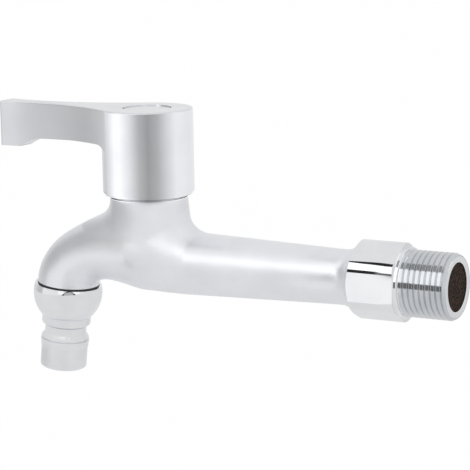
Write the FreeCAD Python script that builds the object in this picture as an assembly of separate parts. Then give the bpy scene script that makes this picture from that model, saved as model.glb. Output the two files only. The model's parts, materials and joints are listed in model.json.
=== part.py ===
import FreeCAD, Part
import math
import os

Vector = FreeCAD.Vector
UP = Vector(0, 0, 1)
INLET_WAY = Vector(0, 1, 0)

# Millimetres. The origin lies on the axis of the inlet thread, in the end face of the collar where
# the thread starts. +Y runs into the wall, the spout points along -Y and +Z is up.

# Inlet end, a G1/2 parallel pipe thread
inlet_thread_diameter = 20.955
inlet_thread_length = 14.9
inlet_end_chamfer = 1.15
inlet_mouth_diameter = 15.24
inlet_bore_diameter = 11.6
filter_thickness = 5.0
filter_recess = 0.6
relief_collar_length = 2.0
relief_collar_diameter = 22.4
hexagon_flats = 23.0
hexagon_corners = 25.4
hexagon_length = 16.4
hexagon_edge_radius = 4.2
hexagon_end_chamfer = 0.4
flare_length = 7.0
flare_radius = 7.0
flare_past_flats = 0.5

# Casting
valve_reach = 94.5
tube_wall_end_diameter = 17.6
tube_valve_end_diameter = 21.6
chamber_diameter = 29.6
chamber_rise = 4.8
chamber_blend_length = 19.0
neck_height = 21.3
neck_top_diameter = 25.5
neck_base_diameter = 28.5
neck_base_height = 6.0
neck_blend_radius = 9.0
collar_height = 4.7
collar_diameter = 23.6
spout_reach = 32.73
spout_drop = 10.26
spout_tilt = 6.4
spout_start_handle = 8.9
spout_end_handle = 13.3
spout_waist_diameter = 19.8
spout_end_diameter = 20.8
spout_waist_share = 0.66
blend_hoops = 6
spout_hoops = 8
knee_height = 3.2

# Outlet
outlet_thread_diameter = 18.0
outlet_spigot_length = 5.9
outlet_bore_diameter = 12.4
outlet_gap = 0.5
outlet_ring_section = 1.44
outlet_ring_groove_depth = 1.3
ball_diameter = 23.3
ball_centre_depth = 3.4
ball_nut_length = 10.95
outlet_gasket_thickness = 1.2
outlet_gasket_play = 0.4
nozzle_thread_diameter = 14.4
nozzle_bore_diameter = 11.0
nozzle_collar_diameter = 16.5
nozzle_collar_length = 3.1
nozzle_groove_diameter = 14.0
nozzle_groove_length = 3.3
nozzle_ring_diameter = 16.6
nozzle_ring_length = 4.4
nozzle_ring_foot_step = 0.25
nozzle_ring_foot_length = 1.58
nozzle_ring_crest_start = 2.2
nozzle_ring_crest_end = 2.86
nozzle_ring_crest_fall = 0.2
nozzle_ring_step = 0.15
nozzle_barrel_diameter = 15.7
nozzle_barrel_length = 7.4
nozzle_edge_chamfer = 0.8
nozzle_mouth_chamfer = 0.6

# Valve insert, from the seat up
seat_height = 7.0
seat_hole_diameter = 9.6
valve_pocket_diameter = 20.0
passage_start = 4.0
passage_rise = 6.0
passage_diameter = 10.0
headwork_thread_diameter = 18.0
headwork_thread_length = 7.5
headwork_cavity_diameter = 14.9
headwork_hexagon_flats = 19.0
headwork_hexagon_height = 3.4
headwork_gasket_thickness = 1.0
headwork_neck_diameter = 12.0
headwork_neck_height = 1.8
headwork_foot_gap = 0.3
headwork_foot_chamfer = 0.6
headwork_neck_chamfer = 0.4
headwork_hexagon_edge_radius = 0.6
headwork_window_gap = 0.3
headwork_window_land = 1.0
headwork_gasket_margin = 1.2
seat_seal_thickness = 2.4
seat_seal_lip = 0.9
seal_insert_wall = 0.7
disc_diameter = 14.7
disc_thickness = 3.0
disc_film = 0.02
port_angle = 80.0
port_inner_diameter = 3.6
port_outer_diameter = 12.0
drive_slot_width = 3.0
drive_slot_depth = 1.4
thrust_washer_thickness = 0.8
spindle_diameter = 8.0
spindle_flange_thickness = 3.0
spindle_ring_section = 1.0
spindle_ring_groove = 1.0
spindle_ring_places = (0.3, 0.62)
circlip_thickness = 0.8
circlip_diameter = 11.2
circlip_groove_diameter = 6.8
circlip_mouth = 3.2
spline_teeth = 20
spline_root_diameter = 7.1
spline_gap_below = 0.4
handle_screw_diameter = 4.0
handle_screw_length = 10.0

# Quarter turn between closed and open
handle_travel = 90.0
stop_rib_angle = 30.0
stop_rib_depth = 1.5
stop_slack = 0.5
stop_rib_gap = 0.2
stop_rib_root = 0.4

# Handle
hub_diameter = 30.12
hub_height = 28.8
hub_gap_above_neck = 0.4
hub_rim_width = 2.3
hub_rim_height = 1.5
hub_rim_knee_width = 0.76
hub_rim_knee_height = 0.54
hub_mouth_gap = 0.4
hub_mouth_lip = 0.5
hub_wall = 2.0
hub_boss_diameter = 15.6
hub_web_thickness = 3.0
lever_rest_angle = 3.2
lever_reach = 58.3
lever_waist_distance = 45.0
lever_waist_width = 5.4
lever_root_depth = 11.6
lever_middle_distance = 26.7
lever_middle_depth = 11.8
lever_waist_depth = 12.4
lever_tip_depth = 15.3
lever_ramp_start = 44.5
lever_ramp_end = 50.5
lever_root_radius = 2.0
lever_edge_chamfer = 0.4
lever_tip_corner_radius = 0.8
bush_diameter = 11.4
cap_diameter = 15.6
cap_recess_depth = 1.6
cap_setback = 0.3
cap_gap = 0.2
cap_edge_chamfer = 0.15
cap_snap_ring_wall = 0.8
cap_snap_ring_length = 1.9
screw_well_diameter = 10.4
screw_well_depth = 4.4
screw_head_diameter = 7.8
screw_head_height = 2.4
screw_head_chamfer = 0.4
screw_socket_flats = 2.5
screw_socket_depth = 1.5
screw_washer_thickness = 0.8
screw_washer_diameter = 7.0
screw_washer_split = 0.6
screw_washer_play = 0.2
screw_hole_play = 0.5

# Chords that stand for small round forms
ring_chords = 6
root_chords = 3
flare_chords = 4

# Clearances
thread_clearance = 0.05
running_clearance = 0.05
fit_clearance = 0.03
part_line = 0.02

# How far a cutting or joining form runs past the face it works on
overrun = 1.0

# Heights above the axis of the tube
neck_top = neck_height + collar_height
hub_bottom = neck_height + hub_gap_above_neck
hub_top = hub_bottom + hub_height
cap_seat = hub_top - cap_recess_depth
web_top = cap_seat - screw_well_depth
web_bottom = web_top - hub_web_thickness
spindle_top = web_bottom - spline_gap_below / 2
headwork_flange_bottom = neck_top + headwork_gasket_thickness
headwork_flange_top = headwork_flange_bottom + headwork_hexagon_height
headwork_top = headwork_flange_top + headwork_neck_height
circlip_bottom = headwork_top + fit_clearance
spline_bottom = circlip_bottom + circlip_thickness + spline_gap_below
fixed_disc_bottom = seat_height + seat_seal_thickness
fixed_disc_top = fixed_disc_bottom + disc_thickness
moving_disc_bottom = fixed_disc_top + disc_film
moving_disc_top = moving_disc_bottom + disc_thickness
flange_bottom = moving_disc_top + part_line
flange_top = flange_bottom + spindle_flange_thickness
washer_bottom = flange_top + part_line
cavity_top = washer_bottom + thrust_washer_thickness + part_line
thread_bottom = neck_top - headwork_thread_length

# Distances along the inlet axis from the origin, +Y into the wall
inlet_end = inlet_thread_length
hexagon_start = -hexagon_length - relief_collar_length
flare_start = hexagon_start - flare_length

# Radii used in more than one piece
disc_radius = disc_diameter / 2
cavity_radius = headwork_cavity_diameter / 2
spindle_radius = spindle_diameter / 2
flange_radius = cavity_radius - 2 * running_clearance
stop_rib_inner_radius = cavity_radius - stop_rib_depth
ring_groove_radius = spindle_radius - spindle_ring_groove
thread_hole_radius = headwork_thread_diameter / 2 + thread_clearance


def turned(profile):
    """A solid turned about Z from a closed profile of (radius, height) corners."""
    corners = [Vector(radius, 0, height) for radius, height in profile]
    outline = Part.makePolygon(corners + corners[:1])
    return Part.Face(outline).revolve(Vector(0, 0, 0), UP, 360)


def hollow_round(radius, start_radius, start_height, rise, chords):
    """Corners for turned along a concave arc that leaves an upright wall and swings outward."""
    full_turn = math.asin(rise / radius)
    corners = []
    for step in range(chords + 1):
        turn = full_turn * step / chords
        corners.append((start_radius + radius * (1 - math.cos(turn)), start_height + radius * math.sin(turn)))
    return corners


def rod(diameter, bottom, top):
    """An upright cylinder on the Z axis."""
    return Part.makeCylinder(diameter / 2, top - bottom, Vector(0, 0, bottom))


def sleeve(outer_diameter, inner_diameter, bottom, top):
    """An upright tube on the Z axis."""
    return rod(outer_diameter, bottom, top).cut(rod(inner_diameter, bottom - overrun, top + overrun))


def hexagon(flats, bottom, top, corner_radius=0.0):
    """An upright hexagonal prism with corners on the X axis and its edges rounded if asked."""
    reach = flats / math.sqrt(3)
    turns = [math.radians(60 * step) for step in range(7)]
    corners = [Vector(reach * math.cos(turn), reach * math.sin(turn), bottom) for turn in turns]
    prism = Part.Face(Part.makePolygon(corners)).extrude(Vector(0, 0, top - bottom))
    if corner_radius > 0:
        upright = [edge for edge in prism.Edges if edge.BoundBox.ZLength > 0.5 * (top - bottom)]
        prism = prism.makeFillet(corner_radius, upright)
    return prism


def sector(radius, start, sweep, bottom, top):
    """A pie slice about Z from the angle start, in degrees."""
    slice_ = Part.makeCylinder(radius, top - bottom, Vector(0, 0, bottom), UP, sweep)
    slice_.rotate(Vector(0, 0, 0), UP, start)
    return slice_


def rubber_ring(centre_radius, section, height):
    """An O-ring lying level at a height, its round section drawn with short chords."""
    turns = [2 * math.pi * (step + 0.5) / ring_chords for step in range(ring_chords)]
    profile = [(centre_radius + section / 2 * math.cos(turn), height + section / 2 * math.sin(turn))
               for turn in turns]
    return turned(profile)


def at_valve(shape):
    """Carries a shape built on the valve axis to its place."""
    placed = shape.copy()
    placed.translate(Vector(0, -valve_reach, 0))
    return placed


def at_outlet(shape):
    """Carries a shape built from the outlet's shoulder, with +Z down the outlet, to its place."""
    placed = shape.copy()
    placed.rotate(Vector(0, 0, 0), Vector(1, 0, 0), 180 - spout_tilt)
    placed.translate(Vector(0, -valve_reach - spout_reach, -spout_drop))
    return placed


def along_inlet(shape):
    """Turns a shape built about Z so that its Z axis becomes the inlet axis."""
    placed = shape.copy()
    placed.rotate(Vector(0, 0, 0), Vector(1, 0, 0), -90)
    return placed


def blend(fraction):
    """A smooth step from 0 to 1."""
    fraction = min(max(fraction, 0.0), 1.0)
    return fraction * fraction * (3 - 2 * fraction)


def spout_point(share):
    """The spout's centreline, a cubic from the chamber to the outlet, in the valve's frame.

    Gives how far it has gone forward, its height, and its pitch below level in radians.
    """
    tilt = math.radians(spout_tilt)
    start = (0.0, chamber_rise)
    first = (spout_start_handle, chamber_rise)
    end = (spout_reach, -spout_drop)
    last = (end[0] - spout_end_handle * math.sin(tilt), end[1] + spout_end_handle * math.cos(tilt))
    rest = 1 - share
    weights = (rest ** 3, 3 * share * rest ** 2, 3 * share ** 2 * rest, share ** 3)
    slopes = (-3 * rest ** 2, 3 * rest * (rest - 2 * share), 3 * share * (2 * rest - share), 3 * share ** 2)
    points = (start, first, last, end)
    forward = sum(weight * point[0] for weight, point in zip(weights, points))
    height = sum(weight * point[1] for weight, point in zip(weights, points))
    run = sum(slope * point[0] for slope, point in zip(slopes, points))
    climb = sum(slope * point[1] for slope, point in zip(slopes, points))
    return forward, height, math.atan2(-climb, run)


def hoop(forward, height, pitch, diameter):
    """A circle square to a path that runs forward along -Y and dips by pitch."""
    way = Vector(0, -math.cos(pitch), -math.sin(pitch))
    circle = Part.Circle(Vector(0, -valve_reach - forward, height), way, diameter / 2)
    return Part.Wire([circle.toShape()])


def tube_diameter_at(distance):
    """The tube's outside at a distance from the valve axis towards the wall."""
    share = distance / (valve_reach + flare_start)
    return tube_valve_end_diameter + (tube_wall_end_diameter - tube_valve_end_diameter) * share


def outside_of_canal():
    """The tube, the valve chamber and the spout as one smooth skin over round sections."""
    hoops = []
    length = valve_reach + flare_start
    tube = Part.makeCone(tube_wall_end_diameter / 2, tube_diameter_at(chamber_blend_length) / 2,
                         length - chamber_blend_length, Vector(0, flare_start, 0), -INLET_WAY)
    for step in range(blend_hoops, 0, -1):
        share = step / blend_hoops
        fullness = blend(1 - share)
        plain = tube_diameter_at(chamber_blend_length * share)
        diameter = plain + (chamber_diameter - plain) * fullness
        hoops.append(hoop(-chamber_blend_length * share, chamber_rise * fullness, 0.0, diameter))
    for step in range(spout_hoops + 1):
        share = step / spout_hoops
        forward, height, pitch = spout_point(share)
        narrowing = blend(share / spout_waist_share)
        widening = blend((share - spout_waist_share) / (1 - spout_waist_share))
        diameter = chamber_diameter + (spout_waist_diameter - chamber_diameter) * narrowing
        diameter += (spout_end_diameter - spout_waist_diameter) * widening
        hoops.append(hoop(forward, height, pitch, diameter))
    return Part.makeLoft(hoops, True, False).fuse(tube)


def inlet_end_outside():
    """The flare out of the tube, the hexagon, its collar and the plain spigot that carries the thread."""
    tube_radius = tube_wall_end_diameter / 2
    corner_radius = hexagon_corners / 2
    thread_radius = inlet_thread_diameter / 2
    rise = corner_radius - tube_radius
    lead = math.sqrt(flare_radius ** 2 - (flare_radius - rise) ** 2)
    flare_foot = hexagon_start + flare_past_flats - lead
    turned_blank = turned([
        (0, flare_start),
        (tube_radius, flare_start),
        *hollow_round(flare_radius, tube_radius, flare_foot, lead, flare_chords),
        (corner_radius, -relief_collar_length - hexagon_end_chamfer),
        (corner_radius - hexagon_end_chamfer, -relief_collar_length),
        (relief_collar_diameter / 2, -relief_collar_length),
        (relief_collar_diameter / 2, 0),
        (thread_radius, 0),
        (thread_radius, inlet_end - inlet_end_chamfer),
        (thread_radius - inlet_end_chamfer, inlet_end),
        (0, inlet_end),
    ])
    prism = hexagon(hexagon_flats, flare_start - overrun, inlet_end + overrun, hexagon_edge_radius)
    prism.rotate(Vector(0, 0, 0), UP, 90)
    return along_inlet(turned_blank.common(prism))


def body_casting():
    """The one brass casting: tube, chamber, neck and spout, machined at its three ends."""
    neck = turned([
        (0, neck_base_height),
        (neck_base_diameter / 2, neck_base_height),
        (neck_top_diameter / 2, neck_height),
        (0, neck_height),
    ])
    skin = outside_of_canal().fuse(at_valve(neck)).removeSplitter()
    seam = [edge for edge in skin.Edges if on_neck_seam(edge)]
    skin = skin.makeFillet(neck_blend_radius, seam)
    collar = at_valve(rod(collar_diameter, neck_height - overrun, neck_top))
    spigot = at_outlet(rod(outlet_thread_diameter, -overrun, outlet_spigot_length))
    solid = skin.fuse([collar, inlet_end_outside(), spigot]).removeSplitter()
    for way in waterways():
        solid = solid.cut(way)
    return solid


def on_neck_seam(edge):
    """Whether an edge is where the neck runs into the chamber."""
    box = edge.BoundBox
    return box.ZMin > neck_base_height and box.ZMax < neck_height - overrun and box.XLength > overrun


def waterways():
    """The bores from the inlet to the seat, and from the pocket round the valve to the outlet."""
    mouth_radius = inlet_mouth_diameter / 2
    bore_radius = inlet_bore_diameter / 2
    filter_seat = inlet_end - filter_recess - filter_thickness
    inlet_way = turned([
        (0, -valve_reach - bore_radius),
        (bore_radius, -valve_reach),
        (bore_radius, filter_seat),
        (mouth_radius, filter_seat),
        (mouth_radius, inlet_end + overrun),
        (0, inlet_end + overrun),
    ])
    valve_pocket = turned([
        (0, 0),
        (seat_hole_diameter / 2, 0),
        (seat_hole_diameter / 2, seat_height),
        (valve_pocket_diameter / 2, seat_height),
        (valve_pocket_diameter / 2, thread_bottom),
        (thread_hole_radius, thread_bottom),
        (thread_hole_radius, neck_top + overrun),
        (0, neck_top + overrun),
    ])
    knee = at_outlet(Part.makeSphere(outlet_bore_diameter / 2, Vector(0, 0, -knee_height)))
    outlet_bore = at_outlet(rod(outlet_bore_diameter, -knee_height, outlet_spigot_length + overrun))
    start = Vector(0, -valve_reach - passage_start, seat_height + passage_rise)
    passage = knee.CenterOfMass - start
    slant = Part.makeCylinder(passage_diameter / 2, passage.Length, start, passage)
    return [along_inlet(inlet_way), at_valve(valve_pocket), slant, outlet_bore.fuse(knee)]


def inlet_filter():
    """The porous plug pressed into the inlet's mouth."""
    top = inlet_end - filter_recess
    return along_inlet(rod(inlet_mouth_diameter - 2 * fit_clearance, top - filter_thickness, top))


def seat_seal():
    """The rubber lip seal squeezed between the seat and the fixed disc."""
    outer = disc_radius - seat_seal_lip / 2
    inner = seat_hole_diameter / 2
    top = fixed_disc_bottom
    return at_valve(turned([
        (inner, seat_height),
        (outer - seat_seal_lip, seat_height),
        (outer, seat_height + seat_seal_lip),
        (outer, top - seat_seal_lip / 2),
        (outer - seat_seal_lip / 2, top),
        (inner, top),
    ]))


def seal_insert():
    """The stiff ring that stops the seat seal from closing in."""
    return at_valve(sleeve(seat_hole_diameter - part_line, seat_hole_diameter - 2 * seal_insert_wall,
                           seat_height + part_line, fixed_disc_bottom - part_line))


def fixed_disc():
    """The lower ceramic disc, with two ports on the X axis."""
    disc = rod(disc_diameter, fixed_disc_bottom, fixed_disc_top)
    return at_valve(disc.cut(Part.makeCompound(port_cuts(0, fixed_disc_bottom, fixed_disc_top))))


def port_cuts(centre_angle, bottom, top):
    """Two opposite sectors through a disc, about an angle in degrees."""
    cuts = []
    for turn in (0, 180):
        start = centre_angle + turn - port_angle / 2
        wedge = sector(port_outer_diameter / 2, start, port_angle, bottom - overrun, top + overrun)
        cuts.append(wedge.cut(rod(port_inner_diameter, bottom - 2 * overrun, top + 2 * overrun)))
    return cuts


def moving_disc():
    """The upper ceramic disc: open at its rim over two quarters, with a slot for the spindle."""
    disc = rod(disc_diameter, moving_disc_bottom, moving_disc_top)
    for turn in (90, 270):
        wedge = sector(disc_diameter, turn - port_angle / 2, port_angle, moving_disc_bottom - overrun,
                       moving_disc_top + overrun)
        core = rod(port_inner_diameter, moving_disc_bottom - 2 * overrun, moving_disc_top + 2 * overrun)
        disc = disc.cut(wedge.cut(core))
    slot = Part.makeBox(2 * disc_diameter, drive_slot_width, drive_slot_depth + overrun)
    slot.translate(Vector(-disc_diameter, -drive_slot_width / 2, moving_disc_top - drive_slot_depth))
    return at_valve(disc.cut(slot))


def headwork_housing():
    """The brass insert: cavity with windows, thread, hexagon, and the bore for the spindle."""
    foot = seat_height + headwork_foot_gap
    bore_radius = spindle_radius + running_clearance
    thread_radius = headwork_thread_diameter / 2
    neck_radius = headwork_neck_diameter / 2
    outside = turned([
        (0, foot),
        (thread_radius - headwork_foot_chamfer, foot),
        (thread_radius, foot + headwork_foot_chamfer),
        (thread_radius, headwork_flange_top),
        (neck_radius, headwork_flange_top),
        (neck_radius, headwork_top - headwork_neck_chamfer),
        (neck_radius - headwork_neck_chamfer, headwork_top),
        (0, headwork_top),
    ])
    nut = hexagon(headwork_hexagon_flats, headwork_flange_bottom, headwork_flange_top,
                  headwork_hexagon_edge_radius)
    inside = turned([
        (0, foot - overrun),
        (cavity_radius, foot - overrun),
        (cavity_radius, cavity_top),
        (bore_radius, cavity_top),
        (bore_radius, headwork_top + overrun),
        (0, headwork_top + overrun),
    ])
    shell = outside.fuse(nut).cut(inside)
    for turn in (0, 180):
        window = sector(headwork_thread_diameter, turn - port_angle / 2, port_angle,
                        fixed_disc_top + headwork_window_gap, thread_bottom - headwork_window_land)
        shell = shell.cut(window)
    for turn in (90, 270):
        rib = sector(cavity_radius + stop_rib_root, turn - stop_rib_angle / 2, stop_rib_angle,
                     flange_bottom + stop_rib_gap, cavity_top + stop_rib_root)
        shell = shell.fuse(rib.cut(rod(2 * stop_rib_inner_radius, 0, headwork_top)))
    return at_valve(shell)


def headwork_gasket():
    """The fibre ring between the casting's neck and the insert's hexagon."""
    return at_valve(sleeve(collar_diameter - 2 * headwork_gasket_margin,
                           headwork_thread_diameter + 2 * fit_clearance, neck_top, headwork_flange_bottom))


def thrust_washer():
    """The slip washer above the spindle's flange, clear of the stop ribs."""
    outer = 2 * (stop_rib_inner_radius - running_clearance)
    return at_valve(sleeve(outer, spindle_diameter + 4 * running_clearance, washer_bottom,
                           washer_bottom + thrust_washer_thickness))


def spline_outline(root_diameter, tip_diameter, bottom, top):
    """A prism with pointed teeth all round, as a serrated shaft or the hole for it."""
    corners = []
    for step in range(2 * spline_teeth):
        radius = (tip_diameter if step % 2 == 0 else root_diameter) / 2
        turn = math.pi * step / spline_teeth
        corners.append(Vector(radius * math.cos(turn), radius * math.sin(turn), bottom))
    return Part.Face(Part.makePolygon(corners + corners[:1])).extrude(Vector(0, 0, top - bottom))


def spindle_ring_heights():
    """The two O-rings' heights, spread over the spindle's bore."""
    return [cavity_top + (headwork_top - cavity_top) * place for place in spindle_ring_places]


def spindle():
    """The spindle: tongue and stop lobes below, O-ring grooves, circlip groove and splines above."""
    flange = rod(2 * flange_radius, flange_bottom, flange_top)
    lobe_angle = 180 - stop_rib_angle - handle_travel - 2 * stop_slack
    first_lobe = 90 + stop_rib_angle / 2 + stop_slack
    core_radius = stop_rib_inner_radius - running_clearance
    for turn in (0, 180):
        gap = sector(2 * flange_radius, first_lobe + lobe_angle + turn, 180 - lobe_angle,
                     flange_bottom - overrun, flange_top + overrun)
        core = rod(2 * core_radius, flange_bottom - 2 * overrun, flange_top + 2 * overrun)
        flange = flange.cut(gap.cut(core))
    shaft = rod(spindle_diameter, flange_top - overrun, spline_bottom)
    tongue_width = drive_slot_width - 2 * running_clearance
    tongue_bottom = moving_disc_top - drive_slot_depth + running_clearance
    tongue = Part.makeBox(2 * core_radius, tongue_width, flange_bottom + overrun - tongue_bottom)
    tongue.translate(Vector(-core_radius, -tongue_width / 2, tongue_bottom))
    tongue = tongue.common(rod(2 * core_radius, 0, spindle_top))
    splines = spline_outline(spline_root_diameter, spindle_diameter, spline_bottom, spindle_top)
    solid = flange.fuse([shaft, tongue, splines]).removeSplitter()
    cuts = []
    for height in spindle_ring_heights():
        half = spindle_ring_section / 2 + running_clearance
        cuts.append(sleeve(2 * spindle_diameter, 2 * ring_groove_radius, height - half, height + half))
    cuts.append(sleeve(2 * spindle_diameter, circlip_groove_diameter, circlip_bottom - fit_clearance,
                       circlip_bottom + circlip_thickness + fit_clearance))
    screw_tip = web_top + screw_washer_thickness - handle_screw_length
    cuts.append(rod(handle_screw_diameter + 2 * thread_clearance, screw_tip - overrun, spindle_top + overrun))
    return at_valve(solid.cut(Part.makeCompound(cuts)))


def spindle_ring(index):
    """One of the two O-rings on the spindle, in its groove."""
    centre = ring_groove_radius + spindle_ring_section / 2 + fit_clearance
    return at_valve(rubber_ring(centre, spindle_ring_section, spindle_ring_heights()[index]))


def circlip():
    """The open spring ring that keeps the spindle from dropping into the valve."""
    ring = sleeve(circlip_diameter, circlip_groove_diameter + 2 * fit_clearance, circlip_bottom,
                  circlip_bottom + circlip_thickness)
    mouth = Part.makeBox(circlip_diameter, circlip_mouth, circlip_thickness + 2 * overrun)
    mouth.translate(Vector(0, -circlip_mouth / 2, circlip_bottom - overrun))
    return at_valve(ring.cut(mouth))


def lever_side_radius():
    """The radius of the arc that leaves the hub tangentially and just touches the lever's waist."""
    hub_radius = hub_diameter / 2
    half_waist = lever_waist_width / 2
    reach = lever_waist_distance ** 2 + half_waist ** 2 - hub_radius ** 2
    return reach / (2 * (hub_radius - half_waist))


def lever_blade():
    """The lever's blade along -Y: plan between two concave arcs, cut to its side profile."""
    side_radius = lever_side_radius()
    hub_radius = hub_diameter / 2
    centre_across = lever_waist_width / 2 + side_radius
    share = hub_radius / (hub_radius + side_radius)
    leave = (centre_across * share, lever_waist_distance * share)

    def across(distance):
        return centre_across - math.sqrt(side_radius ** 2 - (distance - lever_waist_distance) ** 2)

    middle = (leave[1] + lever_reach) / 2
    right = [Vector(leave[0], -leave[1], 0), Vector(across(middle), -middle, 0),
             Vector(across(lever_reach), -lever_reach, 0)]
    left = [Vector(-point.x, point.y, 0) for point in reversed(right)]
    edges = [
        Part.Arc(*right).toShape(),
        Part.LineSegment(right[-1], left[0]).toShape(),
        Part.Arc(*left).toShape(),
        Part.LineSegment(left[-1], Vector(0, 0, 0)).toShape(),
        Part.LineSegment(Vector(0, 0, 0), right[0]).toShape(),
    ]
    plan = Part.Face(Part.Wire(edges))
    plan.translate(Vector(0, 0, hub_bottom))
    slab = plan.extrude(Vector(0, 0, hub_height))
    side = [
        (0, hub_top),
        (0, hub_top - lever_root_depth),
        (lever_middle_distance, hub_top - lever_middle_depth),
        (lever_ramp_start, hub_top - lever_waist_depth),
        (lever_ramp_end, hub_top - lever_tip_depth),
        (lever_reach + overrun, hub_top - lever_tip_depth),
        (lever_reach + overrun, hub_top),
    ]
    corners = [Vector(-hub_radius, -distance, height) for distance, height in side]
    profile = Part.Face(Part.makePolygon(corners + corners[:1]))
    blade = slab.common(profile.extrude(Vector(hub_diameter, 0, 0)))
    tip_corners = [edge for edge in blade.Edges
                   if edge.BoundBox.YMax < part_line - lever_reach and edge.BoundBox.ZLength > overrun]
    blade = blade.makeFillet(lever_tip_corner_radius, tip_corners)
    root = hub_top - lever_root_depth
    foot = root - lever_root_radius
    web = turned([
        (hub_radius - overrun, foot),
        *hollow_round(lever_root_radius, hub_radius, foot, lever_root_radius, root_chords),
        (hub_radius + lever_root_radius, root + overrun),
        (hub_radius - overrun, root + overrun),
    ])
    return blade.fuse(web.common(slab))


def lever_handle():
    """The cast handle: a cylindrical hub over the neck with the lever growing out of it."""
    hub_radius = hub_diameter / 2
    hub = turned([
        (0, hub_bottom),
        (hub_radius - hub_rim_width, hub_bottom),
        (hub_radius - hub_rim_knee_width, hub_bottom + hub_rim_knee_height),
        (hub_radius, hub_bottom + hub_rim_height),
        (hub_radius, hub_top),
        (0, hub_top),
    ])
    solid = hub.fuse(lever_blade()).removeSplitter()
    solid = solid.makeChamfer(lever_edge_chamfer, [edge for edge in solid.Edges if on_top_rim(edge)])
    skirt_inner = hub_diameter - 2 * hub_wall
    mouth_top = hub_bottom + hub_rim_height + hub_mouth_lip
    mouth = rod(collar_diameter + 2 * hub_mouth_gap, hub_bottom - overrun, mouth_top)
    inside = rod(skirt_inner, hub_bottom + hub_rim_height, spline_bottom).fuse([
        sleeve(skirt_inner, hub_boss_diameter, spline_bottom - overrun, web_bottom),
        rod(bush_diameter + 2 * fit_clearance, spline_bottom - overrun, web_bottom),
        rod(cap_diameter + 2 * cap_gap, cap_seat, hub_top + overrun),
        rod(screw_well_diameter, web_top, cap_seat + overrun),
        rod(handle_screw_diameter + screw_hole_play, web_bottom - overrun, web_top + overrun),
    ])
    solid = solid.cut(mouth).cut(inside)
    solid.rotate(Vector(0, 0, 0), UP, -lever_rest_angle)
    return at_valve(solid)


def on_top_rim(edge):
    """Whether an edge runs round the top face."""
    return edge.BoundBox.ZMin > hub_top - part_line


def spline_bush():
    """The moulded bush in the hub's boss, with a toothed hole for the spindle."""
    bush = rod(bush_diameter, spline_bottom + spline_gap_below, web_bottom - part_line)
    hole = spline_outline(spline_root_diameter + 2 * fit_clearance, spindle_diameter + 2 * fit_clearance,
                          spline_bottom - overrun, spindle_top + part_line)
    screw_hole = rod(handle_screw_diameter + screw_hole_play, spindle_top, web_bottom + overrun)
    return at_valve(bush.cut(hole).cut(screw_hole))


def screw_washer():
    """The split spring washer under the screw's head."""
    washer = sleeve(screw_washer_diameter, handle_screw_diameter + screw_washer_play, web_top,
                    web_top + screw_washer_thickness)
    split = Part.makeBox(screw_washer_diameter, screw_washer_split, screw_washer_thickness + 2 * overrun)
    split.translate(Vector(0, -screw_washer_split / 2, web_top - overrun))
    return at_valve(washer.cut(split))


def handle_screw():
    """The socket-head screw that pulls the handle down on the spindle."""
    seat = web_top + screw_washer_thickness
    top = seat + screw_head_height
    head = rod(screw_head_diameter, seat, top)
    rim = [edge for edge in head.Edges if edge.BoundBox.ZMin > seat + overrun]
    head = head.makeChamfer(screw_head_chamfer, rim)
    shank = rod(handle_screw_diameter, seat - handle_screw_length, seat)
    socket = hexagon(screw_socket_flats, top - screw_socket_depth, top + overrun)
    return at_valve(head.fuse(shank).cut(socket))


def index_cap():
    """The plain round cap that snaps into the hub's top."""
    cap_top = hub_top - cap_setback
    plate = rod(cap_diameter, cap_seat + part_line, cap_top)
    rim = [edge for edge in plate.Edges if edge.BoundBox.ZMin > cap_top - cap_edge_chamfer]
    plate = plate.makeChamfer(cap_edge_chamfer, rim)
    outer = screw_well_diameter - 2 * running_clearance
    snap = sleeve(outer, outer - 2 * cap_snap_ring_wall, cap_seat - cap_snap_ring_length,
                  cap_seat + cap_snap_ring_wall)
    return at_valve(plate.fuse(snap))


def outlet_ring():
    """The rubber ring in the gap between the spout and the ball nut."""
    centre = outlet_thread_diameter / 2 + outlet_ring_section / 2 + fit_clearance
    return at_outlet(rubber_ring(centre, outlet_ring_section, outlet_ring_section / 2 + part_line))


def nut_shoulder():
    """Where the gasket sits inside the ball nut, from the spout's shoulder."""
    return outlet_spigot_length + outlet_gasket_thickness + part_line


def ball_nut():
    """The ball-shaped nut that screws on the spout and takes the nozzle."""
    nut_end = outlet_gap + ball_nut_length
    ball = Part.makeSphere(ball_diameter / 2, Vector(0, 0, ball_centre_depth))
    blank = ball.common(rod(2 * ball_diameter, outlet_gap, nut_end))
    outer_ring = outlet_thread_diameter + 2 * outlet_ring_section + 4 * fit_clearance
    bore = turned([
        (0, outlet_gap - overrun),
        (outer_ring / 2, outlet_gap - overrun),
        (outer_ring / 2, outlet_gap + outlet_ring_groove_depth),
        (outlet_thread_diameter / 2 + thread_clearance, outlet_gap + outlet_ring_groove_depth),
        (outlet_thread_diameter / 2 + thread_clearance, nut_shoulder()),
        (nozzle_thread_diameter / 2 + thread_clearance, nut_shoulder()),
        (nozzle_thread_diameter / 2 + thread_clearance, nut_end + overrun),
        (0, nut_end + overrun),
    ])
    return at_outlet(blank.cut(bore))


def outlet_gasket():
    """The flat rubber washer between the spout's end and the nozzle."""
    bottom = outlet_spigot_length + part_line / 2
    return at_outlet(sleeve(outlet_thread_diameter - outlet_gasket_play, nozzle_bore_diameter, bottom,
                            bottom + outlet_gasket_thickness))


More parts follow.
